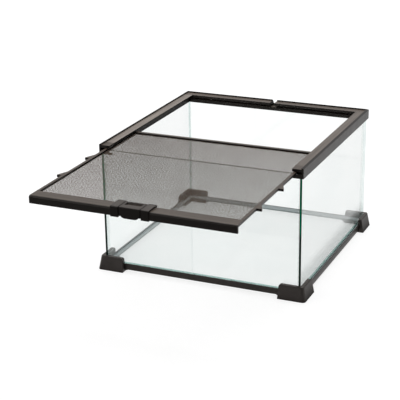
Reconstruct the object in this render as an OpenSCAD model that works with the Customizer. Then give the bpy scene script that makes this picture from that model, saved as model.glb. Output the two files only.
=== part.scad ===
// Low glass terrarium for reptiles with a sliding mesh lid, drawn with the lid pulled partly out.
// Millimetres, +Z up, the front faces -Y. The feet stand on Z = 0.
// X = 0 and Y = 0 are the middle of the whole footprint, the pulled-out lid included.

/* [Tank] */
// Width across the top rails
tank_w = 300; // [240:1:360]
// Depth across the top rails
tank_d = 300; // [240:1:360]
// Height from the shelf to the top of the rails' lips
tank_h = 188.4; // [120:0.1:260]

/* [Glass] */
// Thickness of the wall panes
glass_t = 3.2; // [3:0.1:4]
// Thickness of the floor pane
floor_t = 4; // [3:0.1:5]
// How far the panes stand in from the outside of the top rails
glass_inset = 2.4; // [2.2:0.1:3]
// Gap round a pane in its slot
glass_fit = 0.1; // [0.05:0.05:0.2]
// Height of the underside of the wall panes
pane_z = 4.8; // [4.2:0.1:6]
// Height of the underside of the floor pane
floor_z = 5.6; // [5:0.2:8]
// Width of the silicone beads
bead_w = 3; // [2:0.5:4]

/* [Top rails] */
// Height of the top rails
rail_h = 15; // [14:0.1:20]
// Width of the flange over the lid channel
flange_w = 16; // [14:0.5:20]
// Thickness of the flange
flange_t = 3.7; // [3:0.1:5]
// Height of the lid channel
channel_h = 3.7; // [3.5:0.1:4.5]
// Thickness of the rail's outer wall at the channel
lip_t = 2; // [1.6:0.1:2.2]
// Width of the ledge under the channel, side rails
ledge_side = 9; // [7:0.5:10]
// Width of the ledge under the channel, back rail
ledge_back = 12; // [8:0.5:13]
// Height of the lip that stands up along the outer edge
lip_rise = 2; // [1.5:0.1:2.5]
// Width of the slope outside the lip
shoulder_w = 2.8; // [2:0.1:3.5]
// Drop of the slope outside the lip
shoulder_drop = 1.4; // [0.5:0.1:1.4]
// Width of the lip's flat top
lip_flat = 0.4; // [0.3:0.1:1]
// Glass held above the underside of the rail
rail_grip = 4.6; // [3:0.1:4.8]
// Length of a front end cap
cap_l = 15; // [12:1:20]
// Length of a back corner connector along the back
corner_arm = 34; // [24:1:40]
// Gap between the front pane's top and the lid ledge
front_drop = 0.2; // [0.1:0.1:1]
// Width of the ear in front of the front pane
ear_w = 11; // [8:0.5:16]
// Height of the ear
ear_h = 2.6; // [2:0.1:4]
// Width of the ear where it rises beside the ledge
ear_rise = 3.5; // [2:0.5:5]

/* [Cable inlet] */
// Width of the cable inlet piece
inlet_w = 25; // [20:1:40]
// Notch width at the top
notch_top = 8.4; // [8:0.1:14]
// Notch width at the bottom
notch_bottom = 4.6; // [4.4:0.1:7]
// Notch depth
notch_d = 6; // [5.8:0.1:7]

/* [Bottom rails] */
// Height of the underside of the bottom rails
base_z = 3; // [2.2:0.1:3.4]
// Height of the rail's outer leg above its underside
base_h = 9; // [7:0.5:12]
// Outside of the bottom rails, in from the outside of the top rails
base_inset = 0.6; // [0.2:0.1:0.8]
// Gap between the rails and the glass they hold
leg_gap = 0.2; // [0.1:0.1:0.3]
// Length of the collar beside each foot
collar_l = 3.5; // [2:0.5:6]
// Drop of the collar below the rail
collar_drop = 1; // [0.5:0.1:1.5]

/* [Feet] */
// Reach of a foot beyond the top rails
foot_over = 7; // [5:0.5:9]
// Length of each arm of a foot
foot_arm = 40; // [30:1:60]
// Height of a foot
foot_h = 20.5; // [18:0.5:28]
// Slope of the foot's outer faces over their height
foot_draft = 3.4; // [1:0.1:3.5]
// Rounding of the foot's upright corner
foot_round = 5; // [3:0.5:8]
// Slope of the arms' ends
arm_slant = 1; // [0.5:0.1:4]
// Rounding at the top of the arms' ends
arm_round = 3; // [1:0.5:5]
// Width of the ledge in a foot under the floor pane
foot_ledge = 2.7; // [2:0.1:4]
// Length of rail held inside a foot
rail_lap = 6; // [4:0.5:10]
// Gap round the rail inside a foot
lap_fit = 0.1; // [0.05:0.05:0.2]

/* [Lid] */
// How far the lid is pulled out from closed
lid_pull = 201; // [10:1:220]
// Thickness of the lid frame
lid_t = 3.2; // [3.1:0.1:3.2]
// Gap between the lid and the flange above it
lid_gap = 0.3; // [0.2:0.1:0.3]
// Gap between the lid frame and the ledge inside the rails
lid_side_gap = 0.8; // [0.6:0.1:3]
// Gap between the runners and the back of the channel
runner_gap = 1.2; // [0.6:0.1:2]
// Back edge of the closed lid, in from the outside of the back rail
lid_back_gap = 10.5; // [6:0.5:13]
// Width of the lid's side rails
frame_side = 4.2; // [4:0.1:8]
// Width of the lid's back rail
frame_back = 5.5; // [4:0.1:10]
// Depth of the front bar
bar_d = 20; // [18:1:26]
// Height of the front bar with its skirt
bar_h = 10.5; // [9:0.5:14]
// Thickness of the skirt
skirt_t = 3; // [2.4:0.1:3.2]
// Gap between the closed skirt and the end caps
skirt_gap = 0.5; // [0.3:0.1:1.5]
// Length of a runner
runner_l = 17; // [10:1:24]
// First runner of the left side, back from the front of the bar
runner_first_left = 81.5; // [60:0.5:90]
// First runner of the right side, back from the front of the bar
runner_first_right = 60.5; // [40:0.5:70]
// Spacing of the runners
runner_pitch = 76; // [40:1:80]

/* [Mesh] */
// Spacing of the wires
mesh_pitch = 4; // [3:0.5:10]
// Width of a wire
wire_w = 0.5; // [0.3:0.1:1]
// Thickness of a wire
wire_t = 0.3; // [0.2:0.05:0.3]
// Mesh below the top of the lid frame
mesh_drop = 2.2; // [1.8:0.1:2.2]
// Mesh held inside the frame
mesh_lap = 2.3; // [1.5:0.1:2.5]

/* [Latch] */
// Width of the latch housing
housing_w = 52; // [44:1:70]
// Housing and flap above the lid frame
latch_rise = 2.3; // [2.1:0.1:3.2]
// Length of the housing from front to back
latch_l = 24; // [23.5:0.5:27]
// Thickness of the housing in front of the bar
cover_t = 1; // [0.8:0.1:2]
// Housing below the skirt
hook_t = 0.9; // [0.8:0.1:2]
// Width of the flap
flap_w = 28.4; // [20:0.2:30]
// Gap on each side of the flap
flap_gap = 1.1; // [0.5:0.1:1.5]
// Height of the badge plate under the flap's top
badge_h = 14.4; // [13:0.1:18]
// Thickness of the badge plate
badge_t = 2.5; // [1.8:0.1:3]
// Rounding of the badge plate's lower corners
badge_round = 8; // [3:0.5:9]
// Radius of the hinge pin
pin_r = 1; // [0.8:0.05:1.1]
// Gap between the pin and its bores
pin_fit = 0.05; // [0.03:0.01:0.08]
// Radius of the knuckle round the pin
knuckle_r = 2; // [1.8:0.1:2.1]
// Pin below the top of the latch
pin_drop = 2.2; // [2.1:0.1:2.3]
// Pin forward of the back of the housing
pin_in = 2.6; // [2.4:0.1:3]
// Width of the claw behind the front pane
claw_w = 12; // [8:1:16]
// Reach of the claw below the flap
claw_h = 7.4; // [5:0.1:9]
// Gap between the closed claw and the front pane
claw_gap = 0.8; // [0.5:0.1:1.5]
// Thickness of the claw
claw_t = 2.6; // [2:0.1:3]
// Room in front of the claw for its swing
claw_swing = 3.2; // [2.8:0.1:4]
// Gap behind the badge plate
badge_gap = 0.3; // [0.2:0.1:0.5]
// Length of the housing's rear seat in the bar
seat_l = 3.5; // [3:0.1:4]
// Thickness of the bar left under the rear seat
web_t = 0.9; // [0.7:0.05:0.95]
// Length of the bar left under the back of the flap
web_l = 6; // [5:0.5:7]
// Width of the thumb scoop
scoop_w = 22; // [10:1:22]
// Depth of the thumb scoop
scoop_d = 1.7; // [0.8:0.1:1.8]
// Front of the thumb scoop, forward of the pin
scoop_start = 11.5; // [8:0.5:14]
// Back of the thumb scoop, forward of the pin
scoop_end = 2.3; // [2.2:0.1:4]

/* [Hidden] */
$fn = 48;
dark = "#2a2623";
clear = "#cfe6df";
metal = "#9a9a98";
far = 40;

half_w = tank_w / 2;
half_d = tank_d / 2;
top_z = tank_h;
flange_top = top_z - lip_rise;
flange_z = flange_top - flange_t;
ledge_z = flange_z - channel_h;
rail_z = top_z - rail_h;
slot_z = rail_z + rail_grip + glass_fit;
pane_top = rail_z + rail_grip;
front_top = ledge_z - front_drop;
ear_top = ledge_z - lid_gap;
ear_slope = 2.5;

wall_out = glass_inset;
wall_in = glass_inset + glass_t;
floor_gap = wall_in + leg_gap;
ledge_in = floor_gap + foot_ledge;
floor_top = floor_z + floor_t;

foot_out_x = half_w + foot_over;
foot_out_y = half_d + foot_over;
foot_start_x = foot_out_x - foot_arm;
foot_start_y = foot_out_y - foot_arm;

lid_top = flange_z - lid_gap;
lid_low = lid_top - lid_t;
lid_half = half_w - ledge_side - lid_side_gap;
runner_out = half_w - lip_t - runner_gap;
lid_front = -half_d - skirt_gap - skirt_t - lid_pull;
lid_back = half_d - lid_back_gap - lid_pull;
bar_back = lid_front + bar_d;
bar_low = lid_top - bar_h;
rear_runner = lid_back - runner_l;

mesh_top = lid_top - mesh_drop;
mesh_half = lid_half - frame_side + mesh_lap - glass_fit;
mesh_front = bar_back - mesh_lap + glass_fit;
mesh_back = lid_back - frame_back + mesh_lap - glass_fit;
layer_gap = 0.02;
mesh_low = mesh_top - 2 * wire_t - layer_gap;
warp_last = floor((mesh_half - wire_w) / mesh_pitch);
weft_last = floor((mesh_back - mesh_front - wire_w) / mesh_pitch);

latch_top = lid_top + latch_rise;
latch_front = lid_front - cover_t;
latch_back = latch_front + latch_l;
pin_y = latch_back - pin_in;
pin_z = latch_top - pin_drop;
flap_half = flap_w / 2;
cheek_in = flap_half + flap_gap;
cheek_out = housing_w / 2;
flap_front = latch_front + 0.3;
seat_y = bar_back - seat_l;
web_top = lid_low + web_t;
claw_y = lid_front + skirt_t + skirt_gap + glass_inset + glass_t + claw_gap;

// Puts the middle of the footprint, lid included, at Y = 0.
centre_y = -(latch_front + foot_out_y) / 2;

// Helpers

module place() {
  translate([0, centre_y, 0])
    children();
}

module box(low, high) {
  translate(low)
    cube(high - low);
}

// A section of [y, z] points, run from x0 to x1.
module run_x(x0, x1, points) {
  translate([x0, 0, 0])
    rotate([90, 0, 90])
      linear_extrude(x1 - x0)
        polygon(points);
}

// A section of [x, z] points, run from y0 to y1.
module run_y(y0, y1, points) {
  translate([0, y1, 0])
    rotate([90, 0, 0])
      linear_extrude(y1 - y0)
        polygon(points);
}

// Section of a top rail whose outside is at edge, with its slot for the pane.
function rail_section(edge, ledge) = [
  [edge, rail_z],
  [edge, top_z - shoulder_drop],
  [edge - shoulder_w, top_z],
  [edge - shoulder_w - lip_flat, top_z],
  [edge - shoulder_w - lip_flat, flange_top],
  [edge - flange_w, flange_top],
  [edge - flange_w, flange_z],
  [edge - lip_t, flange_z],
  [edge - lip_t, ledge_z],
  [edge - ledge, ledge_z],
  [edge - ledge, rail_z],
  [edge - wall_in - glass_fit, rail_z],
  [edge - wall_in - glass_fit, slot_z],
  [edge - wall_out + glass_fit, slot_z],
  [edge - wall_out + glass_fit, rail_z]
];

// Outline of a top rail without its hollows.
function rail_outline(edge, depth) = [
  [edge - depth, rail_z],
  [edge, rail_z],
  [edge, top_z - shoulder_drop],
  [edge - shoulder_w, top_z],
  [edge - depth, top_z]
];

// Section of a bottom rail: an outer leg and a base under the pane.
function base_section(edge) = [
  [edge - floor_gap, base_z],
  [edge - base_inset, base_z],
  [edge - base_inset, base_z + base_h],
  [edge - wall_out + leg_gap, base_z + base_h],
  [edge - wall_out + leg_gap, pane_z],
  [edge - floor_gap, pane_z]
];

// Sloped outer face of a foot.
function foot_section(start, edge) = [
  [start, 0],
  [edge, 0],
  [edge - foot_draft, foot_h - 0.8],
  [edge - foot_draft - 0.8, foot_h],
  [start, foot_h]
];

// What is cut off the end of a foot's arm.
function arm_end(start) = concat(
  [[start - 2, foot_h + 1], [start - 2, -1], [start, -1], [start, 0]],
  [for (turn = [0:15:90])
    [start + arm_slant + arm_round * (1 - cos(turn)), foot_h - arm_round * (1 - sin(turn))]],
  [[start + arm_slant + arm_round, foot_h + 1]]
);

// Glass

module front_pane() {
  color(clear) place()
    box([-half_w + wall_in, -half_d + wall_out, pane_z], [half_w - wall_in, -half_d + wall_in, front_top]);
}

module back_pane() {
  color(clear) place()
    box([-half_w + wall_in, half_d - wall_in, pane_z], [half_w - wall_in, half_d - wall_out, pane_top]);
}

module side_pane() {
  box([half_w - wall_in, -half_d + wall_out, pane_z], [half_w - wall_out, half_d - wall_out, pane_top]);
}

module left_pane() {
  color(clear) place()
    mirror([1, 0, 0])
      side_pane();
}

module right_pane() {
  color(clear) place()
    side_pane();
}

module floor_pane() {
  color(clear) place()
    box([-half_w + floor_gap, -half_d + floor_gap, floor_z],
      [half_w - floor_gap, half_d - floor_gap, floor_top]);
}

module corner_bead() {
  translate([half_w - wall_in, half_d - wall_in, floor_top + bead_w])
    linear_extrude(rail_z - 0.4 - floor_top - bead_w)
      polygon([[0, 0], [-bead_w, 0], [0, -bead_w]]);
}

module corner_beads() {
  color(clear) place() {
    corner_bead();
    mirror([1, 0, 0])
      corner_bead();
    mirror([0, 1, 0]) {
      corner_bead();
      mirror([1, 0, 0])
        corner_bead();
    }
  }
}

function bead_section(edge) = [
  [edge - wall_in, floor_top],
  [edge - wall_in, floor_top + bead_w],
  [edge - wall_in - bead_w, floor_top]
];

module floor_bead_pair() {
  run_y(-half_d + wall_in, half_d - wall_in, bead_section(half_w));
  run_x(-half_w + wall_in + bead_w + 0.05, half_w - wall_in - bead_w - 0.05, bead_section(half_d));
}

module floor_beads() {
  color(clear) place() {
    floor_bead_pair();
    mirror([1, 0, 0])
      mirror([0, 1, 0])
        floor_bead_pair();
  }
}

// Bottom rails and feet

module base_rail_x() {
  run_x(-foot_start_x - rail_lap, foot_start_x + rail_lap, base_section(half_d));
  for (side = [-1, 1])
    translate([side * (foot_start_x - collar_l / 2), half_d - (floor_gap + base_inset) / 2, base_z])
      cube([collar_l, floor_gap - base_inset, 2 * collar_drop], center = true);
}

module base_rail_y() {
  run_y(-foot_start_y - rail_lap, foot_start_y + rail_lap, base_section(half_w));
  for (side = [-1, 1])
    translate([half_w - (floor_gap + base_inset) / 2, side * (foot_start_y - collar_l / 2), base_z])
      cube([floor_gap - base_inset, collar_l, 2 * collar_drop], center = true);
}

module front_bottom_rail() {
  color(dark) place()
    mirror([0, 1, 0])
      base_rail_x();
}

module back_bottom_rail() {
  color(dark) place()
    base_rail_x();
}

module left_bottom_rail() {
  color(dark) place()
    mirror([1, 0, 0])
      base_rail_y();
}

module right_bottom_rail() {
  color(dark) place()
    base_rail_y();
}

module foot_corner_cut() {
  tilt = atan(foot_draft * sqrt(2) / foot_h);
  translate([foot_out_x, foot_out_y, 0])
    rotate([0, 0, 45])
      rotate([0, -tilt, 0])
        difference() {
          translate([-foot_round / sqrt(2), -2 * foot_round, -3])
            cube([3 * foot_round, 4 * foot_round, foot_h + 8]);
          translate([-foot_round * sqrt(2), 0, -4])
            cylinder(r = foot_round, h = foot_h + 10);
        }
}

module foot() {
  glass_x = half_w - wall_out + leg_gap;
  glass_y = half_d - wall_out + leg_gap;
  difference() {
    intersection() {
      run_y(foot_start_y, foot_out_y, foot_section(foot_start_x, foot_out_x));
      run_x(foot_start_x, foot_out_x, foot_section(foot_start_y, foot_out_y));
    }
    foot_corner_cut();
    // the corner stays open inside the two arms
    box([foot_start_x - 1, foot_start_y - 1, -1], [half_w - ledge_in, half_d - ledge_in, foot_h + 1]);
    // room for the panes
    box([foot_start_x - 1, foot_start_y - 1, floor_z], [glass_x, glass_y, foot_h + 1]);
    box([half_w - floor_gap, foot_start_y - 1, pane_z], [glass_x, glass_y, foot_h]);
    box([foot_start_x - 1, half_d - floor_gap, pane_z], [glass_x, glass_y, foot_h]);
    // sockets for the ends of the bottom rails
    box([foot_start_x - 1, half_d - floor_gap - lap_fit, base_z - lap_fit],
      [foot_start_x + rail_lap + lap_fit, half_d - base_inset + lap_fit, base_z + base_h + lap_fit]);
    box([half_w - floor_gap - lap_fit, foot_start_y - 1, base_z - lap_fit],
      [half_w - base_inset + lap_fit, foot_start_y + rail_lap + lap_fit, base_z + base_h + lap_fit]);
    // slanted ends of the arms
    run_y(half_d - ledge_in - 1, foot_out_y + 1, arm_end(foot_start_x));
    run_x(half_w - ledge_in - 1, foot_out_x + 1, arm_end(foot_start_y));
  }
}

module foot_front_left() {
  color(dark) place()
    mirror([0, 1, 0])
      mirror([1, 0, 0])
        foot();
}

module foot_front_right() {
  color(dark) place()
    mirror([0, 1, 0])
      foot();
}

module foot_back_left() {
  color(dark) place()
    mirror([1, 0, 0])
      foot();
}

module foot_back_right() {
  color(dark) place()
    foot();
}

// Top rails

module side_rail() {
  run_y(-half_d + cap_l, half_d - flange_w, rail_section(half_w, ledge_side));
}

module left_top_rail() {
  color(dark) place()
    mirror([1, 0, 0])
      side_rail();
}

module right_top_rail() {
  color(dark) place()
    side_rail();
}

module back_rail_half() {
  run_x(inlet_w / 2, half_w - corner_arm, rail_section(half_d, ledge_back));
}

module back_top_rail_left() {
  color(dark) place()
    mirror([1, 0, 0])
      back_rail_half();
}

module back_top_rail_right() {
  color(dark) place()
    back_rail_half();
}

module corner_connector() {
  start = half_w - corner_arm;
  inner = half_d - flange_w;
  slot_x = half_w - wall_out + glass_fit;
  slot_y = half_d - wall_out + glass_fit;
  difference() {
    intersection() {
      run_x(start, half_w, rail_outline(half_d, flange_w));
      run_y(inner, half_d, rail_outline(half_w, corner_arm));
    }
    // lid channel
    box([start - 1, inner - 1, ledge_z], [half_w - lip_t, half_d - lip_t, flange_z]);
    // open below the flange inside the ledges
    box([start - 1, inner - 1, rail_z - 1], [half_w - ledge_side, half_d - ledge_back, ledge_z + 1]);
    // slots for the panes
    box([start - 1, half_d - wall_in - glass_fit, rail_z - 1], [slot_x, slot_y, slot_z]);
    box([half_w - wall_in - glass_fit, inner - 1, rail_z - 1], [slot_x, slot_y, slot_z]);
    // the flange lies below the lip
    box([start - 1, inner - 1, flange_top],
      [half_w - shoulder_w - lip_flat, half_d - shoulder_w - lip_flat, top_z + 1]);
  }
}

module corner_back_left() {
  color(dark) place()
    mirror([1, 0, 0])
      corner_connector();
}

module corner_back_right() {
  color(dark) place()
    corner_connector();
}

module end_cap() {
  front = -half_d;
  inner = half_w - ledge_side;
  difference() {
    union() {
      run_y(front, front + cap_l, rail_section(half_w, ledge_side));
      // closes the front of the pane slot
      box([half_w - wall_in - 1, front, rail_z],
        [half_w - wall_out + 1, front + wall_out - glass_fit, ledge_z]);
      // ear in front of the front pane
      run_y(front, front + wall_out - glass_fit, [
        [inner - ear_w, rail_z],
        [inner + 0.5, rail_z],
        [inner + 0.5, ear_top],
        [inner - ear_rise, ear_top],
        [inner - ear_rise - ear_slope, rail_z + ear_h],
        [inner - ear_w, rail_z + ear_h]
      ]);
    }
    // the front pane passes into the cap
    box([half_w - ledge_side - 1, front + wall_out - glass_fit, rail_z - 1],
      [half_w - wall_in + glass_fit, front + wall_in + glass_fit, ledge_z + 0.5]);
  }
}

module end_cap_left() {
  color(dark) place()
    mirror([1, 0, 0])
      end_cap();
}

module end_cap_right() {
  color(dark) place()
    end_cap();
}

module cable_inlet() {
  color(dark) place()
    difference() {
      union() {
        run_x(-inlet_w / 2, inlet_w / 2, rail_section(half_d, ledge_back));
        // raised pad on the inner face
        box([-1, half_d - ledge_back - 0.6, rail_z + 1.6],
          [inlet_w / 2 - 2, half_d - ledge_back + 0.5, ledge_z - 0.6]);
      }
      run_y(half_d - flange_w - 1, half_d + 1, [
        [-notch_bottom / 2, top_z - notch_d],
        [notch_bottom / 2, top_z - notch_d],
        [notch_top / 2, top_z],
        [notch_top / 2, top_z + 1],
        [-notch_top / 2, top_z + 1],
        [-notch_top / 2, top_z]
      ]);
      // recess beside the pad
      box([-8, half_d - ledge_back - 1, rail_z + 1.6], [-4.5, half_d - ledge_back + 1, ledge_z - 0.6]);
    }
}

// Lid

module lid_front_bar() {
  color(dark) place()
    difference() {
      union() {
        box([-lid_half, lid_front + skirt_t, lid_low], [lid_half, bar_back, lid_top]);
        box([-lid_half, lid_front, bar_low], [lid_half, lid_front + skirt_t, lid_top - skirt_t]);
        // rounded front edge
        intersection() {
          translate([-lid_half, lid_front + skirt_t, lid_top - skirt_t])
            rotate([0, 90, 0])
              cylinder(r = skirt_t, h = 2 * lid_half);
          box([-lid_half, lid_front - 1, lid_top - skirt_t - 0.1],
            [lid_half, lid_front + skirt_t + 0.1, lid_top + 1]);
        }
      }
      // recess for the badge plate
      box([-cheek_in, lid_front - 1, bar_low - 1],
        [cheek_in, flap_front + badge_t + badge_gap, lid_top + 1]);
      // slot for the claw
      box([-claw_w / 2 - flap_gap, claw_y - claw_swing, bar_low - 1],
        [claw_w / 2 + flap_gap, bar_back - web_l, lid_top + 1]);
      // trough under the hinge
      box([-cheek_in, bar_back - web_l, web_top], [cheek_in, bar_back + 1, lid_top + 1]);
      // seat for the back of the latch housing
      box([-cheek_out - glass_fit, seat_y, web_top], [cheek_out + glass_fit, bar_back + 1, lid_top + 1]);
      // groove for the mesh
      box([-mesh_half - glass_fit, bar_back - mesh_lap, mesh_low - 0.05],
        [mesh_half + glass_fit, bar_back + 1, mesh_top + 0.05]);
    }
}

// Frame rail of one side with its wedge runners, which ride on the ledges of the tank.
module lid_side(first) {
  difference() {
    box([lid_half - frame_side, bar_back, lid_low], [lid_half, lid_back, lid_top]);
    box([lid_half - frame_side - 1, bar_back - 1, mesh_low - 0.05],
      [lid_half - frame_side + mesh_lap, mesh_back + glass_fit, mesh_top + 0.05]);
  }
  for (i = [0:floor((rear_runner - lid_front - first - runner_l) / runner_pitch)])
    runner(lid_front + first + i * runner_pitch);
  runner(rear_runner);
}

module runner(start) {
  translate([0, 0, ledge_z])
    linear_extrude(lid_top - ledge_z)
      polygon([
        [lid_half - 1, start],
        [runner_out, start],
        [runner_out, start + 2],
        [lid_half, start + runner_l],
        [lid_half - 1, start + runner_l]
      ]);
}

module lid_left_rail() {
  color(dark) place()
    mirror([1, 0, 0])
      lid_side(runner_first_left);
}

module lid_right_rail() {
  color(dark) place()
    lid_side(runner_first_right);
}

module lid_back_rail() {
  inner = lid_half - frame_side;
  color(dark) place()
    difference() {
      box([-inner, lid_back - frame_back, lid_low], [inner, lid_back, lid_top]);
      box([-inner - 1, lid_back - frame_back - 1, mesh_low - 0.05],
        [inner + 1, mesh_back + glass_fit, mesh_top + 0.05]);
    }
}

module lid_mesh() {
  color(metal) place() {
    for (i = [-warp_last:warp_last])
      translate([i * mesh_pitch - wire_w / 2, mesh_front, mesh_top - wire_t])
        cube([wire_w, mesh_back - mesh_front, wire_t]);
    for (i = [0:weft_last])
      translate([-mesh_half, mesh_front + i * mesh_pitch, mesh_low])
        cube([2 * mesh_half, wire_w, wire_t]);
  }
}

// Latch

module cheek() {
  run_x(cheek_in, cheek_out, [
    [latch_front, bar_low - hook_t],
    [latch_front, latch_top - 1.5],
    [latch_front + 0.5, latch_top - 0.5],
    [latch_front + 1.5, latch_top],
    [latch_back, latch_top],
    [latch_back, mesh_top],
    [seat_y + glass_fit, mesh_top],
    [seat_y + glass_fit, lid_top],
    [lid_front, lid_top],
    [lid_front, bar_low],
    [lid_front + skirt_t, bar_low],
    [lid_front + skirt_t, bar_low + 2],
    [lid_front + skirt_t + 1, bar_low + 2],
    [lid_front + skirt_t + 1, bar_low - hook_t]
  ]);
}

module pin_bore() {
  translate([-far, pin_y, pin_z])
    rotate([0, 90, 0])
      cylinder(r = pin_r + pin_fit, h = 2 * far);
}

module latch_housing() {
  color(dark) place()
    difference() {
      union() {
        cheek();
        mirror([1, 0, 0])
          cheek();
        // bridge under the flap
        box([-cheek_in - 1, seat_y + glass_fit, mesh_top],
          [cheek_in + 1, pin_y - knuckle_r - 0.4, lid_top]);
      }
      pin_bore();
    }
}

module latch_pin() {
  color(metal) place()
    translate([-cheek_out + 0.4, pin_y, pin_z])
      rotate([0, 90, 0])
        cylinder(r = pin_r, h = 2 * cheek_out - 0.8);
}

// Plate with rounded lower corners.
module badge_plate() {
  low = latch_top - badge_h;
  run_y(flap_front, flap_front + badge_t, concat(
    [[flap_half, latch_top - 1], [-flap_half, latch_top - 1]],
    [for (turn = [0:15:90])
      [-flap_half + badge_round * (1 - cos(turn)), low + badge_round * (1 - sin(turn))]],
    [for (turn = [90:-15:0])
      [flap_half - badge_round * (1 - cos(turn)), low + badge_round * (1 - sin(turn))]]
  ));
}

module latch_flap() {
  color(dark) place()
    difference() {
      union() {
        run_x(-flap_half, flap_half, [
          [flap_front, lid_top],
          [flap_front, latch_top - 1.2],
          [flap_front + 0.4, latch_top - 0.4],
          [flap_front + 1.2, latch_top],
          [pin_y, latch_top],
          [pin_y, lid_top]
        ]);
        translate([-flap_half, pin_y, pin_z])
          rotate([0, 90, 0])
            cylinder(r = knuckle_r, h = flap_w);
        badge_plate();
        // claw that drops behind the front pane
        box([-claw_w / 2, claw_y, lid_top - claw_h], [claw_w / 2, claw_y + claw_t, lid_top + 1]);
      }
      pin_bore();
      // thumb scoop
      run_x(-scoop_w / 2, scoop_w / 2, [
        [pin_y - scoop_start, latch_top + 0.01],
        [pin_y - scoop_start + scoop_d, latch_top - scoop_d],
        [pin_y - scoop_end - 0.6, latch_top - scoop_d],
        [pin_y - scoop_end, latch_top + 0.01],
        [pin_y - scoop_end, latch_top + 1],
        [pin_y - scoop_start, latch_top + 1]
      ]);
    }
}

// Assembly

front_pane();
back_pane();
left_pane();
right_pane();
floor_pane();
front_bottom_rail();
back_bottom_rail();
left_bottom_rail();
right_bottom_rail();
foot_front_left();
foot_front_right();
foot_back_left();
foot_back_right();
left_top_rail();
right_top_rail();
back_top_rail_left();
back_top_rail_right();
corner_back_left();
corner_back_right();
end_cap_left();
end_cap_right();
cable_inlet();
corner_beads();
floor_beads();
lid_front_bar();
lid_left_rail();
lid_right_rail();
lid_back_rail();
lid_mesh();
latch_housing();
latch_pin();
latch_flap();
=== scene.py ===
import math

import bmesh
import bpy
from mathutils import Matrix, Vector


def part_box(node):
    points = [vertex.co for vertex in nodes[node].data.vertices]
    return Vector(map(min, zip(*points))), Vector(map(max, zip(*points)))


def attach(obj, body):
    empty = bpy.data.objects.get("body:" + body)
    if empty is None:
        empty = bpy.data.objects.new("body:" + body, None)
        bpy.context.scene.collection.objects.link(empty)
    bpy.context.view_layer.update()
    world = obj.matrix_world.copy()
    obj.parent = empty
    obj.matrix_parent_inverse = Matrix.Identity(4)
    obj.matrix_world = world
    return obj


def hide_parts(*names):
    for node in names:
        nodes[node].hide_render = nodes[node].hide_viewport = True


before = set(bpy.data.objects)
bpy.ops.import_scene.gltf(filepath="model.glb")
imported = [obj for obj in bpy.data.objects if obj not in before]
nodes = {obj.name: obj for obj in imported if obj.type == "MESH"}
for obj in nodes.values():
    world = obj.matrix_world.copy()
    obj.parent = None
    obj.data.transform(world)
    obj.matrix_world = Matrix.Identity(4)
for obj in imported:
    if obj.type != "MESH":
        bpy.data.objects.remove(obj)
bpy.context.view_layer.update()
mm = 0.001


def tankMiddle():
    low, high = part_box("floor_pane")
    return Vector(((low.x + high.x) / 2, (low.y + high.y) / 2, 0))


def addObject(name, data):
    thing = bpy.data.objects.new(name, data)
    bpy.context.scene.collection.objects.link(thing)
    return thing


print("camera")
cameraSet = {
    "azimuth": 23.92,
    "elevation": 20.27,
    "roll": -0.86,
    "distance": 1.800,
    "target": (-0.0517, -0.0281, 0.0758),  # from the middle of the tank
    "lens": 109.75,
    "sensor": 36,
    "clip": (0.05, 50),
}


def makeCamera(values):
    azimuth = math.radians(values["azimuth"])
    elevation = math.radians(values["elevation"])
    roll = math.radians(values["roll"])
    back = Vector((math.sin(azimuth) * math.cos(elevation),
                   -math.cos(azimuth) * math.cos(elevation),
                   math.sin(elevation)))
    right = Vector((math.cos(azimuth), math.sin(azimuth), 0))
    up = back.cross(right)
    across = right * math.cos(roll) + up * math.sin(roll)
    upward = up * math.cos(roll) - right * math.sin(roll)
    place = tankMiddle() + Vector(values["target"]) + back * values["distance"]
    data = bpy.data.cameras.new("camera")
    data.lens = values["lens"]
    data.sensor_width = values["sensor"]
    data.clip_start, data.clip_end = values["clip"]
    camera = addObject("camera", data)
    camera.matrix_world = Matrix((
        (across.x, upward.x, back.x, place.x),
        (across.y, upward.y, back.y, place.y),
        (across.z, upward.z, back.z, place.z),
        (0, 0, 0, 1)))
    bpy.context.scene.camera = camera


makeCamera(cameraSet)


def newMaterial(name):
    material = bpy.data.materials.new(name)
    material.use_nodes = True
    material.node_tree.nodes.clear()
    return material, material.node_tree


# A socket is linked where its value is another node's output, and typed in otherwise.
def add(tree, kind, sockets=None, **settings):
    node = tree.nodes.new(kind)
    for key, value in settings.items():
        setattr(node, key, value)
    for key, value in (sockets or {}).items():
        socket = node.inputs[key]
        if isinstance(value, bpy.types.NodeSocket):
            tree.links.new(value, socket)
        elif socket.type == "RGBA":
            socket.default_value = (*value, 1)
        else:
            socket.default_value = value
    return node


def mathNode(tree, operation, first, second=None, clamp=False):
    sockets = {0: first} if second is None else {0: first, 1: second}
    return add(tree, "ShaderNodeMath", sockets, operation=operation, use_clamp=clamp).outputs[0]


def absolute(tree, value):
    return mathNode(tree, "ABSOLUTE", value)


def objectPoint(tree):
    return add(tree, "ShaderNodeTexCoord").outputs["Object"]


def split(tree, vector):
    return add(tree, "ShaderNodeSeparateXYZ", {0: vector}).outputs


def noise(tree, point, scale, detail, roughness, stretch=None):
    if stretch:
        point = add(tree, "ShaderNodeMapping", {"Vector": point, "Scale": stretch}).outputs[0]
    sockets = {"Vector": point, "Scale": scale, "Detail": detail, "Roughness": roughness}
    return add(tree, "ShaderNodeTexNoise", sockets).outputs["Fac"]


def ramp(tree, factor, stops):
    node = add(tree, "ShaderNodeValToRGB", {0: factor})
    while len(node.color_ramp.elements) < len(stops):
        node.color_ramp.elements.new(0.5)
    for element, (position, colour) in zip(node.color_ramp.elements, stops):
        element.position = position
        element.color = (*colour, 1)
    return node.outputs["Color"]


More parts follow.
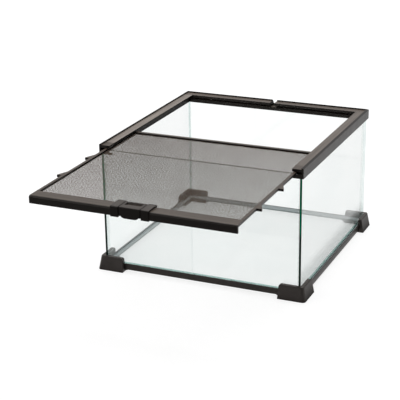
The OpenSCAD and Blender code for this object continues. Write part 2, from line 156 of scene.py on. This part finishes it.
# Runs from low to high while the value runs from start to end.
def between(tree, value, start, end, low, high, kind="LINEAR"):
    sockets = {"Value": value, "From Min": start, "From Max": end, "To Min": low, "To Max": high}
    return add(tree, "ShaderNodeMapRange", sockets, interpolation_type=kind).outputs[0]


def spread(tree, factor, low, high):
    return between(tree, factor, 0, 1, low, high)


def mixColour(tree, factor, first, second):
    return add(tree, "ShaderNodeMix", {0: factor, 6: first, 7: second}, data_type="RGBA").outputs[2]


def mixShader(tree, factor, first, second):
    return add(tree, "ShaderNodeMixShader", {0: factor, 1: first, 2: second}).outputs[0]


def setSurface(tree, shader):
    add(tree, "ShaderNodeOutputMaterial", {"Surface": shader})


print("plastic")
plasticSet = {  # what all the mouldings share
    "reflectionTint": (1.0, 0.91, 0.84),
    "broadShare": 0.7,  # of the broad waves in the colour, the rest is grain
    "shades": (0.35, 0.65),
    "level": 0.93,  # how far up a face has to look before it gets the painted highlight
    "streakStretch": 0.02,
    "streakGain": 2.4,
    "streakStart": -0.7,
    "leastTopHighlight": 0.45,  # of the highlight amount, where the painted highlight is thin
    "shine": 0.5,
    "inward": -0.5,  # a face turned past this looks into the tank
    "grainDepth": 0.05 * mm,
}
# In each set, the colour laid on the faces that look up is a painted highlight, standing in for the light
# from above.
railPlasticSet = {
    "dark": (0.0042, 0.0032, 0.0028),
    "light": (0.0078, 0.0060, 0.0052),
    "topHighlight": (0.122, 0.091, 0.068),
    "topHighlightAmount": 0.85,
    "roughness": (0.28, 0.42),
    "ior": 1.45,
    "grainScale": 2600,
    "grainHeight": 0.06,
    "waveScale": 60,
    "streakScale": 700,
}
footPlasticSet = {
    "dark": (0.029, 0.0245, 0.0230),
    "light": (0.047, 0.0405, 0.0385),
    "topHighlight": (0.090, 0.075, 0.066),
    "topHighlightAmount": 0.6,
    "roughness": (0.34, 0.48),
    "ior": 1.5,
    "grainScale": 2600,
    "grainHeight": 0.08,
    "waveScale": 50,
    "streakScale": 700,
}
latchPlasticSet = {
    "dark": (0.0030, 0.0024, 0.0021),
    "light": (0.0055, 0.0044, 0.0039),
    "topHighlight": (0.115, 0.088, 0.070),
    "topHighlightAmount": 0.6,
    "roughness": (0.14, 0.22),
    "ior": 1.4,
    "grainScale": 3200,
    "grainHeight": 0.02,
    "waveScale": 90,
    "streakScale": 900,
}
# Lit copies of the rail plastic: the painted highlight is lighter on the top rails, and lighter still on
# the left rail, where more light falls.
topPlasticSet = dict(railPlasticSet, topHighlight=(0.200, 0.164, 0.138), topHighlightAmount=0.92, shadedInnerShine=0.1)
litLeftPlasticSet = dict(railPlasticSet, topHighlight=(0.400, 0.345, 0.300), topHighlightAmount=0.95, shadedInnerShine=0.1)
glassLightSet = {  # painted reflection: the plastic seen behind the glass, painted paler where the glass's reflection and the light through it brighten it
    "pale": (0.62, 0.63, 0.62),
    "grey": (0.16, 0.152, 0.146),
    "base": (0.58, 0.65, 0.66),
    "past": 0.5 * mm,  # how far it reaches past the glass
}


# 1 inside the outer faces of the wall panes and 0 outside them. The tank is square.
def behindGlass(tree, point):
    place = split(tree, point)
    middle = tankMiddle()
    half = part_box("right_pane")[1].x + glassLightSet["past"]
    inside = []
    for axis, centre in (("X", middle.x), ("Y", middle.y)):
        offset = absolute(tree, mathNode(tree, "SUBTRACT", place[axis], centre))
        inside.append(mathNode(tree, "LESS_THAN", offset, half))
    return mathNode(tree, "MULTIPLY", inside[0], inside[1])


# Painted highlight, in streaks along the piece, on the faces that look up, standing in for the light from
# above.
def paintedTopHighlight(tree, point, facing, along, values):
    upward = between(tree, facing["Z"], plasticSet["level"], 1, 0, 1, "SMOOTHSTEP")
    stretch = [1.0, 1.0, 1.0]
    stretch[along] = plasticSet["streakStretch"]
    streak = noise(tree, point, values["streakScale"], detail=3, roughness=0.6, stretch=tuple(stretch))
    strong = mathNode(tree, "MULTIPLY", streak, plasticSet["streakGain"])
    patchy = mathNode(tree, "ADD", strong, plasticSet["streakStart"], clamp=True)
    amount = spread(tree, patchy, plasticSet["leastTopHighlight"] * values["topHighlightAmount"], values["topHighlightAmount"])
    return mathNode(tree, "MULTIPLY", upward, amount)


# The faces that look into the tank from its sides reflect less, as painted shade for the shadow under the
# flanges.
def shadedInnerShine(tree, point, facing, values):
    side = mathNode(tree, "SIGN", split(tree, point)["X"])
    outward = mathNode(tree, "MULTIPLY", facing["X"], side)
    inward = mathNode(tree, "LESS_THAN", outward, plasticSet["inward"])
    return spread(tree, inward, plasticSet["shine"], values["shadedInnerShine"])


# Brown-black moulded plastic. along is the direction of the piece's length, 0 to 2 for X to Z.
def mouldedPlastic(name, values, along=0):
    material, tree = newMaterial(name)
    point = objectPoint(tree)
    facing = split(tree, add(tree, "ShaderNodeNewGeometry").outputs["True Normal"])
    broad = noise(tree, point, values["waveScale"], detail=4, roughness=0.6)
    grain = noise(tree, point, values["grainScale"], detail=2, roughness=0.5)
    share = plasticSet["broadShare"]
    mottle = mathNode(tree, "ADD", mathNode(tree, "MULTIPLY", broad, share),
                      mathNode(tree, "MULTIPLY", grain, 1 - share))
    darkAt, lightAt = plasticSet["shades"]
    plain = ramp(tree, mottle, [(darkAt, values["dark"]), (lightAt, values["light"])])
    # Painted highlight on the faces that look up.
    surface = mixColour(tree, paintedTopHighlight(tree, point, facing, along, values), plain, values["topHighlight"])
    # Painted reflection: the plastic behind the glass is paler.
    if "glassLight" in values:
        surface = mixColour(tree, behindGlass(tree, point), surface, values["glassLight"])
    bump = add(tree, "ShaderNodeBump", {
        "Strength": values["grainHeight"],
        "Distance": plasticSet["grainDepth"],
        "Height": grain,
    })
    sockets = {
        "Base Color": surface,
        "Roughness": spread(tree, broad, *values["roughness"]),
        "IOR": values["ior"],
        "Specular Tint": plasticSet["reflectionTint"],
        "Normal": bump.outputs[0],
    }
    # Painted shade: less reflection where the faces look into the tank.
    if "shadedInnerShine" in values:
        sockets["Specular IOR Level"] = shadedInnerShine(tree, point, facing, values)
    setSurface(tree, add(tree, "ShaderNodeBsdfPrincipled", sockets).outputs[0])
    return material


acrossPlastic = mouldedPlastic("acrossPlastic", railPlasticSet)
alongPlastic = mouldedPlastic("alongPlastic", railPlasticSet, along=1)
topAcrossPlastic = mouldedPlastic("topAcrossPlastic", topPlasticSet)
topAlongPlastic = mouldedPlastic("topAlongPlastic", topPlasticSet, along=1)
litLeftPlastic = mouldedPlastic("litLeftPlastic", litLeftPlasticSet, along=1)
footPlastic = mouldedPlastic("footPlastic", footPlasticSet)
# Lit copies of the foot plastic: behind the glass, painted pale on two feet and grey on one, as painted
# reflection.
paleFootPlastic = mouldedPlastic("paleFootPlastic", dict(footPlasticSet, glassLight=glassLightSet["pale"]))
greyFootPlastic = mouldedPlastic("greyFootPlastic", dict(footPlasticSet, glassLight=glassLightSet["grey"]))
basePlastic = mouldedPlastic("basePlastic", dict(footPlasticSet, glassLight=glassLightSet["base"]))
latchPlastic = mouldedPlastic("latchPlastic", latchPlasticSet)

print("glass")
glassSet = {
    "face": (0.984, 0.990, 0.988),
    "smear": (0.968, 0.979, 0.977),
    "smearScale": 7,
    "shades": (0.35, 0.65),
    "gloss": (0.0, 0.03),
    "ior": 1.5,
}
edgeSet = {
    "colours": {  # lower and upper; the upper is lighter, as painted light that the edges catch higher up, and the floor pane's pale edges are painted light through the glass
        "right": ((0.006, 0.024, 0.015), (0.002, 0.300, 0.135)),
        "left": ((0.008, 0.028, 0.020), (0.020, 0.480, 0.300)),
        "front": ((0.020, 0.080, 0.060), (0.045, 0.100, 0.080)),
        "floor": ((0.62, 0.75, 0.77), (0.72, 0.84, 0.86)),
    },
    "glued": ((0.72, 0.80, 0.79), (0.82, 0.88, 0.87)),
    "fade": 9 * mm,  # half the height over which the colour changes
    "streakScale": 60,
    "shades": (0.3, 0.7),
    "streaks": 0.25,
    "shine": 0.15,
    "roughness": 0.12,
    "turned": 0.5,  # how far a face has to turn to the dark direction
    "thin": 0.35,  # and how little to the thin one, to be an edge
}
paneSet = {  # thin direction, direction of the dark edges, colours, height at which they change
    "front_pane": (1, 2, "front", 100 * mm),
    "back_pane": (1, 2, "front", 100 * mm),
    "left_pane": (0, 1, "left", 95 * mm),
    "right_pane": (0, 1, "right", 95 * mm),
    "floor_pane": (2, None, "floor", 12 * mm),
}


# A face seen straight through, whose reflection grows at a glancing angle.
def clearFace(tree, smear, tint, values):
    see = add(tree, "ShaderNodeBsdfTransparent", {"Color": tint})
    shine = add(tree, "ShaderNodeBsdfGlossy", {"Roughness": spread(tree, smear, *values["gloss"])})
    weight = add(tree, "ShaderNodeLayerWeight", {"Blend": 0.5})
    straight = ((values["ior"] - 1) / (values["ior"] + 1)) ** 2
    glance = mathNode(tree, "POWER", weight.outputs["Facing"], 5)
    reflect = mathNode(tree, "ADD", mathNode(tree, "MULTIPLY", glance, 1 - straight), straight)
    return mixShader(tree, reflect, see.outputs[0], shine.outputs[0])


# What lies under the pane is seen through refraction, but light passes straight.
def bendingFace(tree, straightFace, tint, values):
    thick = add(tree, "ShaderNodeBsdfGlass", {"Color": tint, "IOR": values["ior"], "Roughness": 0})
    path = add(tree, "ShaderNodeLightPath").outputs
    plain = mathNode(tree, "MAXIMUM", path["Is Shadow Ray"], path["Is Diffuse Ray"])
    return mixShader(tree, plain, thick.outputs[0], straightFace)


# Coloured where the cut edge is bare, painted darker below and lighter above as painted light, and pale
# and clear where it is glued to another pane.
def cutEdges(tree, point, normal, dark, colours, change, values):
    place = split(tree, point)
    low, high = colours
    # Painted light: the bare edge turns lighter above the change height.
    rise = between(tree, place["Z"], change - values["fade"], change + values["fade"], 0, 1, "SMOOTHSTEP")
    streak = noise(tree, point, values["streakScale"], detail=3, roughness=0.6)
    cut = mixColour(tree, rise, low, high)
    cut = mixColour(tree, spread(tree, streak, 0, values["streaks"]), cut, low)
    bare = add(tree, "ShaderNodeBsdfPrincipled", {
        "Base Color": cut,
        "Roughness": values["roughness"],
        "IOR": glassSet["ior"],
        "Specular IOR Level": values["shine"],
    })
    pale = ramp(tree, streak, list(zip(values["shades"], values["glued"])))
    glued = add(tree, "ShaderNodeBsdfTransparent", {"Color": pale})
    if dark is None:  # the floor pane's edges all show
        isDark = mathNode(tree, "LESS_THAN", absolute(tree, normal["Z"]), values["turned"])
    else:  # the edges at the back lie against other panes
        inFront = mathNode(tree, "LESS_THAN", place["Y"], tankMiddle().y)
        turned = mathNode(tree, "GREATER_THAN", absolute(tree, normal[dark]), values["turned"])
        isDark = mathNode(tree, "MULTIPLY", turned, inFront)
    return mixShader(tree, isDark, glued.outputs[0], bare.outputs[0])


# Directions are 0 to 2 for X to Z. The pane without a dark direction is the floor, which refracts.
def paneGlass(name, across, dark, colours, change):
    material, tree = newMaterial(name)
    coordinates = add(tree, "ShaderNodeTexCoord").outputs
    point = coordinates["Object"]
    normal = split(tree, coordinates["Normal"])
    smear = noise(tree, point, glassSet["smearScale"], detail=4, roughness=0.6)
    smearAt, faceAt = glassSet["shades"]
    tint = ramp(tree, smear, [(smearAt, glassSet["smear"]), (faceAt, glassSet["face"])])
    face = clearFace(tree, smear, tint, glassSet)
    if dark is None:
        face = bendingFace(tree, face, tint, glassSet)
    edges = cutEdges(tree, point, normal, dark, edgeSet["colours"][colours], change, edgeSet)
    isEdge = mathNode(tree, "LESS_THAN", absolute(tree, normal[across]), edgeSet["thin"])
    setSurface(tree, mixShader(tree, isEdge, face, edges))
    return material


print("silicone and metal")
cornerBeadSet = {
    "dark": (0.93, 0.95, 0.945),
    "light": (0.985, 0.99, 0.988),
    "skin": (0.85, 0.88, 0.87),
    "shine": 0.03,
    "paleSide": 0.03,
}
floorBeadSet = {
    "dark": (0.60, 0.74, 0.71),
    "light": (0.74, 0.84, 0.82),
    "skin": (0.84, 0.92, 0.93),
    "shine": 0.06,
    "paleSide": 0.80,
}
siliconeSet = {
    "waveScale": 300,
    "shades": (0.3, 0.7),
    "roughness": (0.15, 0.35),
    "reach": 5 * mm,  # from the floor pane's left and back edges, to the paler beads
}


# Clear beads, which whiten the glass behind them a little. Those at the left and the back are paler and
# less clear.
def clearSilicone(name, values):
    material, tree = newMaterial(name)
    point = objectPoint(tree)
    place = split(tree, point)
    wave = noise(tree, point, siliconeSet["waveScale"], detail=3, roughness=0.5)
    darkAt, lightAt = siliconeSet["shades"]
    tint = ramp(tree, wave, [(darkAt, values["dark"]), (lightAt, values["light"])])
    see = add(tree, "ShaderNodeBsdfTransparent", {"Color": tint})
    skin = add(tree, "ShaderNodeBsdfPrincipled", {
        "Base Color": values["skin"],
        "Roughness": spread(tree, wave, *siliconeSet["roughness"]),
    })
    low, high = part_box("floor_pane")
    atLeft = mathNode(tree, "LESS_THAN", place["X"], low.x + siliconeSet["reach"])
    atBack = mathNode(tree, "GREATER_THAN", place["Y"], high.y - siliconeSet["reach"])
    paleSide = mathNode(tree, "MAXIMUM", atLeft, atBack)
    amount = spread(tree, paleSide, values["shine"], values["paleSide"])
    setSurface(tree, mixShader(tree, amount, see.outputs[0], skin.outputs[0]))
    return material


wireMetalSet = {
    "dark": (0.078, 0.051, 0.034),
    "light": (0.172, 0.124, 0.088),
    "roughness": (0.40, 0.60),
    "metallic": 0.5,
}
pinMetalSet = {
    "dark": (0.5, 0.5, 0.5),
    "light": (0.65, 0.65, 0.64),
    "roughness": (0.2, 0.3),
    "metallic": 1.0,
}
metalSet = {"speckScale": 900, "shades": (0.3, 0.7)}


def speckledMetal(name, values):
    material, tree = newMaterial(name)
    speck = noise(tree, objectPoint(tree), metalSet["speckScale"], detail=3, roughness=0.6)
    darkAt, lightAt = metalSet["shades"]
    metal = add(tree, "ShaderNodeBsdfPrincipled", {
        "Base Color": ramp(tree, speck, [(darkAt, values["dark"]), (lightAt, values["light"])]),
        "Roughness": spread(tree, speck, *values["roughness"]),
        "Metallic": values["metallic"],
    })
    setSurface(tree, metal.outputs[0])
    return material


softenSet = {
    "rail": 0.14 * mm,
    "foot": 0.4 * mm,
    "latch": 0.2 * mm,
    "bar": 0.3 * mm,
    "weld": 0.002 * mm,
    "flat": 0.5,  # degrees, up to which faces count as one
    "flatWeight": 80,
}
shadowLipSet = {
    "ledge": 8.8 * mm,  # from the cap's outside to the block
    "width": 2.4 * mm,
    "height": 2.8 * mm,
    "rise": 0.15 * mm,
    "gap": 0.1 * mm,
}


# A dark block at an end cap's ledge, close behind the front pane, put in as painted shade: it closes the
# gap there, through which the pale floor would show. side is 1 at the right and -1 at the left.
def addShadowLip(work, side, values):
    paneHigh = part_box("front_pane")[1]
    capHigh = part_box("end_cap_right")[1]
    outside = capHigh.x - values["ledge"]
    low = Vector((outside - values["width"], paneHigh.y + values["gap"], paneHigh.z - values["height"]))
    high = Vector((outside, capHigh.y, paneHigh.z + values["rise"]))
    middle = (low + high) / 2
    middle.x *= side
    size = Matrix.Diagonal((*(high - low), 1))
    bmesh.ops.create_cube(work, matrix=Matrix.Translation(middle) @ size)


def shadeSmooth(mesh):
    for polygon in mesh.polygons:
        polygon.use_smooth = True


# A copy of a solid with its sharp edges rounded, standing for the solid.
def softened(name, width, material, body, steps=2, angle=28):
    work = bmesh.new()
    work.from_mesh(nodes[name].data)
    bmesh.ops.remove_doubles(work, verts=work.verts, dist=softenSet["weld"])
    flat = math.radians(softenSet["flat"])
    bmesh.ops.dissolve_limit(work, angle_limit=flat, verts=work.verts, edges=work.edges)
    # Painted shade: a block behind the front pane at each end cap.
    if name.startswith("end_cap"):
        addShadowLip(work, 1 if name.endswith("right") else -1, shadowLipSet)
    mesh = bpy.data.meshes.new(name + "_soft")
    work.to_mesh(mesh)
    work.free()
    shadeSmooth(mesh)
    mesh.materials.clear()
    mesh.materials.append(material)
    piece = addObject(name + "_soft", mesh)
    bevel = piece.modifiers.new("roundEdges", "BEVEL")
    bevel.width = width
    bevel.segments = steps
    bevel.limit_method = "ANGLE"
    bevel.angle_limit = math.radians(angle)
    bevel.use_clamp_overlap = False
    flatten = piece.modifiers.new("flatFaces", "WEIGHTED_NORMAL")
    flatten.mode = "FACE_AREA"
    flatten.weight = softenSet["flatWeight"]
    flatten.keep_sharp = False
    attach(piece, body)
    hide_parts(name)


def paint(name, material):
    nodes[name].data.materials.clear()
    nodes[name].data.materials.append(material)


print("tank")
railPlastics = {
    "left_top_rail": litLeftPlastic,
    "right_top_rail": topAlongPlastic,
    "back_top_rail_left": topAcrossPlastic,
    "back_top_rail_right": topAcrossPlastic,
    "corner_back_left": topAcrossPlastic,
    "corner_back_right": topAcrossPlastic,
    "end_cap_left": alongPlastic,
    "end_cap_right": alongPlastic,
    "cable_inlet": topAcrossPlastic,
    "front_bottom_rail": basePlastic,
    "back_bottom_rail": basePlastic,
    "left_bottom_rail": basePlastic,
    "right_bottom_rail": basePlastic,
}
footPlastics = {
    "foot_front_left": paleFootPlastic,
    "foot_front_right": footPlastic,
    "foot_back_left": greyFootPlastic,
    "foot_back_right": paleFootPlastic,
}
for name, plastic in railPlastics.items():
    softened(name, softenSet["rail"], plastic, "tank")
for name, plastic in footPlastics.items():
    softened(name, softenSet["foot"], plastic, "tank", steps=3)
for name, values in paneSet.items():
    paint(name, paneGlass(name + "_glass", *values))
paint("corner_beads", clearSilicone("cornerSilicone", cornerBeadSet))
paint("floor_beads", clearSilicone("floorSilicone", floorBeadSet))

print("lid")
lidPlastics = {
    "lid_front_bar": acrossPlastic,
    "lid_left_rail": alongPlastic,
    "lid_right_rail": alongPlastic,
    "lid_back_rail": acrossPlastic,
}
for name, plastic in lidPlastics.items():
    softened(name, softenSet["bar"], plastic, "lid")
softened("latch_housing", softenSet["latch"], latchPlastic, "lid")
softened("latch_flap", softenSet["latch"], latchPlastic, "latch", angle=40)
paint("latch_pin", speckledMetal("pinMetal", pinMetalSet))

print("woven mesh")
meshSet = {
    "pitch": 1.45 * mm,
    "radius": 0.15 * mm,
    "swell": 0.15,  # the wires swell and thin a little, in two crossing sets of waves
    "waves": ((4.35 * mm, 14.5 * mm), (5.8 * mm, 7.25 * mm)),
}


def wireWidth(point, values):
    waves = sum(math.cos(2 * math.pi * (point.x / across + point.y / along))
                for across, along in values["waves"])
    return values["radius"] * (1 + values["swell"] * waves / len(values["waves"]))


# A four-sided tube along the path, closed at both ends.
def addWire(points, faces, path, side, values):
    first = len(points)
    for centre in path:
        width = wireWidth(centre, values)
        upward = Vector((0, 0, width))
        points += [centre + upward, centre + side * width, centre - upward, centre - side * width]
    for step in range(len(path) - 1):
        start = first + 4 * step
        for corner in range(4):
            following = (corner + 1) % 4
            faces.append((start + corner, start + following, start + 4 + following, start + 4 + corner))
    last = first + 4 * (len(path) - 1)
    faces.append((first + 3, first + 2, first + 1, first))
    faces.append((last, last + 1, last + 2, last + 3))


def wovenMesh(values):
    low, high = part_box("lid_mesh")
    pitch, radius = values["pitch"], values["radius"]
    middle = (low + high) / 2
    countX = int((high.x - low.x - 2 * radius) / pitch)
    countY = int((high.y - low.y - 2 * radius) / pitch)
    placesX = [middle.x + (i - countX / 2) * pitch for i in range(countX + 1)]
    placesY = [middle.y + (j - countY / 2) * pitch for j in range(countY + 1)]
    points, faces = [], []
    for i, x in enumerate(placesX):
        path = [Vector((x, low.y, middle.z))]
        for j, y in enumerate(placesY):
            path.append(Vector((x, y, middle.z + radius * (1 if (i + j) % 2 else -1))))
        path.append(Vector((x, high.y, middle.z)))
        addWire(points, faces, path, Vector((1, 0, 0)), values)
    for j, y in enumerate(placesY):
        path = [Vector((low.x, y, middle.z))]
        for i, x in enumerate(placesX):
            path.append(Vector((x, y, middle.z - radius * (1 if (i + j) % 2 else -1))))
        path.append(Vector((high.x, y, middle.z)))
        addWire(points, faces, path, Vector((0, -1, 0)), values)
    mesh = bpy.data.meshes.new("woven_mesh")
    mesh.from_pydata(points, [], faces)
    mesh.update()
    shadeSmooth(mesh)
    mesh.materials.append(speckledMetal("meshMetal", wireMetalSet))
    piece = addObject("woven_mesh", mesh)
    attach(piece, "lid")
    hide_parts("lid_mesh")


wovenMesh(meshSet)

print("studio")
floorSet = {
    "size": 30,
    "below": 0.02 * mm,
    "lit": 0.36,
    "glow": (0.80, 1.0),  # near the tank and far from it
    "glowFrom": (0.7, 1.8),
    "mirrored": (0.05, 1.0),  # painted shade: how bright reflections see it, dim in front of the lid and full from there back
    "mirroredFrom": (-0.42, -0.30),
    "footprint": 0.157,  # half the side of the square that the tank covers
    "rampLength": 0.30,
    "ramp": ((0.0, 0.05), (0.013, 0.10), (0.022, 1.0), (0.186, 1.0), (0.194, 0.46)),
}
skySet = {
    "reflected": (0.04, 0.75),  # in front and behind
    "reflectedFrom": (-0.6, 0.3),
    "fill": 0.22,
}
lampSet = {
    "top": {"place": (0.0, 0.7, 2.2), "aim": (0, 0, 0.1), "size": 2.2, "power": 34},
    "left": {"place": (-2.2, -0.6, 1.6), "aim": (0, 0, 0.1), "size": 1.6, "power": 14},
    "front": {"place": (-1.4, -2.2, 1.2), "aim": (0, 0, 0.1), "size": 1.4, "power": 7},
}


# Painted shadow: how bright reflections see the floor, by the distance from the tank's footprint, dark
# close to it.
def shadeBeside(tree, point, values):
    middle = tankMiddle()
    away = []
    for axis, centre in (("X", middle.x), ("Y", middle.y)):
        offset = absolute(tree, mathNode(tree, "SUBTRACT", point[axis], centre))
        past = mathNode(tree, "SUBTRACT", offset, values["footprint"])
        away.append(mathNode(tree, "MAXIMUM", past, 0))
    beside = mathNode(tree, "GREATER_THAN", away[0], 0)
    behind = mathNode(tree, "MULTIPLY", away[1], mathNode(tree, "SUBTRACT", 1, beside))
    distance = mathNode(tree, "ADD", away[0], behind)
    reach = values["rampLength"]
    stops = [(place / reach, (level, level, level)) for place, level in values["ramp"]]
    close = ramp(tree, mathNode(tree, "DIVIDE", distance, reach), stops)
    outside = mathNode(tree, "GREATER_THAN", distance, 0)
    return mathNode(tree, "MAXIMUM", close, mathNode(tree, "SUBTRACT", 1, outside))


# A pale floor, which glows where it is looked at and keeps the shadow.
def paleFloor(values):
    material, tree = newMaterial("paleFloor")
    path = add(tree, "ShaderNodeLightPath").outputs
    point = objectPoint(tree)
    place = split(tree, point)
    # Painted shade: reflections see the floor dim in front of the lid and close to the tank.
    front = between(tree, place["Y"], *values["mirroredFrom"], *values["mirrored"], "SMOOTHSTEP")
    mirrored = mathNode(tree, "MULTIPLY", path["Is Glossy Ray"], front)
    mirrored = mathNode(tree, "MULTIPLY", mirrored, shadeBeside(tree, place, values))
    seen = mathNode(tree, "ADD", path["Is Camera Ray"], path["Is Transmission Ray"])
    seen = mathNode(tree, "ADD", seen, mirrored, clamp=True)
    distance = add(tree, "ShaderNodeVectorMath", {0: point}, operation="LENGTH").outputs["Value"]
    level = between(tree, distance, *values["glowFrom"], *values["glow"], "SMOOTHSTEP")
    strength = mathNode(tree, "MULTIPLY", seen, level)
    lit = add(tree, "ShaderNodeBsdfDiffuse", {"Color": (values["lit"],) * 3})
    glow = add(tree, "ShaderNodeEmission", {"Color": (1, 1, 1), "Strength": strength})
    setSurface(tree, add(tree, "ShaderNodeAddShader", {0: lit.outputs[0], 1: glow.outputs[0]}).outputs[0])
    return material


def makeFloor(values):
    half = values["size"] / 2
    corners = [(-half, -half, 0), (half, -half, 0), (half, half, 0), (-half, half, 0)]
    mesh = bpy.data.meshes.new("floor")
    mesh.from_pydata(corners, [], [(0, 1, 2, 3)])
    mesh.materials.append(paleFloor(values))
    floor = addObject("floor", mesh)
    floor.location.z = -values["below"]


# White where it is looked at, bright behind the tank and dim in front of it in reflections.
def makeSky(values):
    world = bpy.data.worlds.new("studio")
    bpy.context.scene.world = world
    world.use_nodes = True
    tree = world.node_tree
    tree.nodes.clear()
    path = add(tree, "ShaderNodeLightPath").outputs
    direction = split(tree, add(tree, "ShaderNodeTexCoord").outputs["Generated"])
    reflected = between(tree, direction["Y"], *values["reflectedFrom"], *values["reflected"])
    seen = mathNode(tree, "ADD", path["Is Camera Ray"], path["Is Transmission Ray"], clamp=True)
    glossy = mathNode(tree, "MULTIPLY", path["Is Glossy Ray"], reflected)
    named = mathNode(tree, "ADD", seen, path["Is Glossy Ray"], clamp=True)
    other = mathNode(tree, "SUBTRACT", 1, named)
    strength = mathNode(tree, "ADD", mathNode(tree, "MULTIPLY", other, values["fill"]),
                        mathNode(tree, "MAXIMUM", seen, glossy))
    background = add(tree, "ShaderNodeBackground", {"Strength": strength})
    add(tree, "ShaderNodeOutputWorld", {"Surface": background.outputs[0]})


def makeLamps(values):
    for name, lamp in values.items():
        data = bpy.data.lights.new(name + "Lamp", "AREA")
        data.size = lamp["size"]
        data.energy = lamp["power"]
        place = Vector(lamp["place"])
        lampObject = addObject(name + "Lamp", data)
        lampObject.location = place
        lampObject.rotation_euler = (place - Vector(lamp["aim"])).to_track_quat("Z", "Y").to_euler()


makeFloor(floorSet)
makeSky(skySet)
makeLamps(lampSet)
bpy.context.scene.view_settings.view_transform = "Standard"
